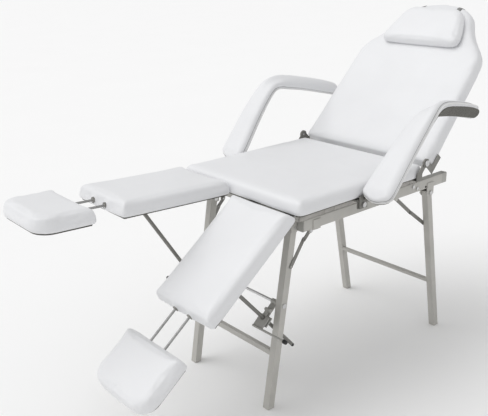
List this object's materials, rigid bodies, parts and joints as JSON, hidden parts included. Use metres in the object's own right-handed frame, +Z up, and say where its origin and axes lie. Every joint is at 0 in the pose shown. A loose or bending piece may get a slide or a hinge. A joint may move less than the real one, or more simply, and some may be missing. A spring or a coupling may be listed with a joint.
{
  "type": "facial treatment bed",
  "caption": "Folding padded treatment bed with split drop-down leg rests, sliding foot rests, reclining back, head pillow and armrests on a steel tube frame.",
  "frame": {"origin": "on the floor, under the middle of the bed's overall box", "axes": "+Z up, -Y toward the feet, +Y toward the head, +X toward the sitter's left"},
  "size_m": [0.8368, 1.8365, 1.2686],
  "materials": {
    "frame_paint": "satin powder coat",
    "dark_steel": "grey lacquered steel",
    "bright_steel": "bright zinc plate",
    "vinyl": "white vinyl, fine grain",
    "board": "plywood covered with black cloth",
    "black_plastic": "moulded",
    "grey_plastic": "moulded",
    "strap": "woven elastic"
  },
  "bodies": {
    "frame": {"rail_left": "frame_paint", "rail_right": "frame_paint", "rail_end_caps": "grey_plastic", "seat_runner_left": "frame_paint", "seat_runner_right": "frame_paint", "front_cross_tube": "frame_paint", "rear_cross_tube": "frame_paint", "seat_board": "board", "seat_cushion": "vinyl", "front_leg_brackets": "frame_paint", "rear_leg_brackets": "frame_paint", "brace_brackets": "frame_paint", "ratchet_seat_arms": "dark_steel", "armrest_brackets": "dark_steel", "seat_hinge_leaves": "bright_steel", "frame_bolts": "bright_steel"},
    "front_legs": {"front_leg_left": "frame_paint", "front_leg_right": "frame_paint", "front_crossbar": "frame_paint", "lock_cross_rod": "bright_steel"},
    "rear_legs": {"rear_leg_left": "frame_paint", "rear_leg_right": "frame_paint", "rear_crossbar": "frame_paint"},
    "front_brace_upper_pair": {"front_brace_uppers": "dark_steel"},
    "front_brace_lower_pair": {"front_brace_lowers": "dark_steel"},
    "rear_brace_upper_pair": {"rear_brace_uppers": "dark_steel"},
    "rear_brace_lower_pair": {"rear_brace_lowers": "dark_steel"},
    "backrest": {"back_board": "board", "back_cushion": "vinyl", "ratchet_back_arms": "dark_steel"},
    "head_pillow": {"pillow": "vinyl", "pillow_strap": "strap"},
    "leg_rest_left": {"leg_board_left": "board", "leg_cushion_left": "vinyl", "leg_hinges_left": "bright_steel", "strut_bracket_left": "dark_steel", "rod_sleeves_left": "dark_steel"},
    "foot_rest_left": {"foot_board_left": "board", "foot_cushion_left": "vinyl", "foot_rods_left": "bright_steel"},
    "lock_left": {"lock_guide_left": "frame_paint"},
    "strut_rod_left": {"strut_left": "dark_steel"},
    "release_left": {"release_lever_left": "dark_steel"},
    "arm_left": {"armrest_board_left": "board", "armrest_cushion_left": "vinyl", "armrest_hanger_left": "dark_steel"},
    "leg_rest_right": {"leg_board_right": "board", "leg_cushion_right": "vinyl", "leg_hinges_right": "bright_steel", "strut_bracket_right": "dark_steel", "rod_sleeves_right": "dark_steel"},
    "foot_rest_right": {"foot_board_right": "board", "foot_cushion_right": "vinyl", "foot_rods_right": "bright_steel"},
    "lock_right": {"lock_guide_right": "frame_paint"},
    "strut_rod_right": {"strut_right": "dark_steel"},
    "release_right": {"release_lever_right": "dark_steel"},
    "arm_right": {"armrest_board_right": "board", "armrest_cushion_right": "vinyl", "armrest_hanger_right": "dark_steel"}
  },
  "joints": [
    {"name": "front_leg_fold", "type": "hinge", "parent": "frame", "child": "front_legs", "pos_m": [0, -0.1795, 0.634], "axis": [1, 0, 0], "range_deg": [0, 85]},
    {"name": "rear_leg_fold", "type": "hinge", "parent": "frame", "child": "rear_legs", "pos_m": [0, 0.5055, 0.606], "axis": [-1, 0, 0], "range_deg": [0, 99]},
    {"name": "front_brace_upper_fold", "type": "hinge", "parent": "frame", "child": "front_brace_upper_pair", "pos_m": [0, -0.1125, 0.609], "axis": [1, 0, 0], "range_deg": [-50, 5]},
    {"name": "front_brace_lower_fold", "type": "hinge", "parent": "front_legs", "child": "front_brace_lower_pair", "pos_m": [0, -0.1945, 0.503], "axis": [1, 0, 0], "range_deg": [-5, 45]},
    {"name": "rear_brace_upper_fold", "type": "hinge", "parent": "frame", "child": "rear_brace_upper_pair", "pos_m": [0, 0.3415, 0.611], "axis": [-1, 0, 0], "range_deg": [-5, 105]},
    {"name": "rear_brace_lower_fold", "type": "hinge", "parent": "rear_legs", "child": "rear_brace_lower_pair", "pos_m": [0, 0.5375, 0.46], "axis": [1, 0, 0], "range_deg": [-5, 170]},
    {"name": "backrest_recline", "type": "hinge", "parent": "frame", "child": "backrest", "pos_m": [0, 0.3895, 0.754], "axis": [1, 0, 0], "range_deg": [-47, 28]},
    {"name": "pillow_slide", "type": "slide", "parent": "backrest", "child": "head_pillow", "axis": [0, 0.682, 0.7314], "range_m": [0, 0.04]},
    {"name": "leg_rest_left_tilt", "type": "hinge", "parent": "frame", "child": "leg_rest_left", "pos_m": [0, -0.2375, 0.693], "axis": [1, 0, 0], "range_deg": [-40, 7.5]},
    {"name": "foot_rest_left_slide", "type": "slide", "parent": "leg_rest_left", "child": "foot_rest_left", "axis": [0, -0.7934, -0.6088], "range_m": [-0.11, 0.025]},
    {"name": "lock_left_turn", "type": "hinge", "parent": "front_legs", "child": "lock_left", "pos_m": [0, -0.2235, 0.37], "axis": [1, 0, 0], "range_deg": [-8.4, 2.39]},
    {"name": "strut_left_slide", "type": "slide", "parent": "lock_left", "child": "strut_rod_left", "axis": [0, -0.6644, 0.7474], "range_m": [-0.0361, 0.1793]},
    {"name": "release_left_press", "type": "hinge", "parent": "lock_left", "child": "release_left", "pos_m": [0, -0.25638, 0.35281], "axis": [-1, 0, 0], "range_deg": [0, 10], "stiffness_Nm_per_rad": 2, "springref_deg": -20.05},
    {"name": "armrest_left_swing", "type": "hinge", "parent": "frame", "child": "arm_left", "pos_m": [0, 0.0505, 0.681], "axis": [1, 0, 0], "range_deg": [0, 60]},
    {"name": "leg_rest_right_tilt", "type": "hinge", "parent": "frame", "child": "leg_rest_right", "pos_m": [0, -0.2375, 0.693], "axis": [1, 0, 0], "range_deg": [0, 47.5]},
    {"name": "foot_rest_right_slide", "type": "slide", "parent": "leg_rest_right", "child": "foot_rest_right", "axis": [0, -0.999, 0.0436], "range_m": [-0.075, 0.045]},
    {"name": "lock_right_turn", "type": "hinge", "parent": "front_legs", "child": "lock_right", "pos_m": [0, -0.2235, 0.37], "axis": [1, 0, 0], "range_deg": [-1, 10.5]},
    {"name": "strut_right_slide", "type": "slide", "parent": "lock_right", "child": "strut_rod_right", "axis": [0, -0.5459, 0.8378], "range_m": [-0.204, 0.003]},
    {"name": "release_right_press", "type": "hinge", "parent": "lock_right", "child": "release_right", "pos_m": [0, -0.25857, 0.35789], "axis": [-1, 0, 0], "range_deg": [0, 10], "stiffness_Nm_per_rad": 2, "springref_deg": -20.05},
    {"name": "armrest_right_swing", "type": "hinge", "parent": "frame", "child": "arm_right", "pos_m": [0, 0.0505, 0.681], "axis": [1, 0, 0], "range_deg": [0, 60]}
  ],
  "couplings": [
    {"joint": "front_brace_upper_fold", "follows": "front_leg_fold", "ratio": -0.52},
    {"joint": "front_brace_lower_fold", "follows": "front_leg_fold", "ratio": 0.459},
    {"joint": "rear_brace_upper_fold", "follows": "rear_leg_fold", "ratio": 1.01},
    {"joint": "rear_brace_lower_fold", "follows": "rear_leg_fold", "ratio": 1.675},
    {"joint": "lock_left_turn", "follows": "leg_rest_left_tilt", "ratio": 0.185},
    {"joint": "strut_left_slide", "follows": "leg_rest_left_tilt", "m_per_rad": -0.2525},
    {"joint": "lock_right_turn", "follows": "leg_rest_right_tilt", "ratio": 0.2},
    {"joint": "strut_right_slide", "follows": "leg_rest_right_tilt", "m_per_rad": -0.2425}
  ]
}
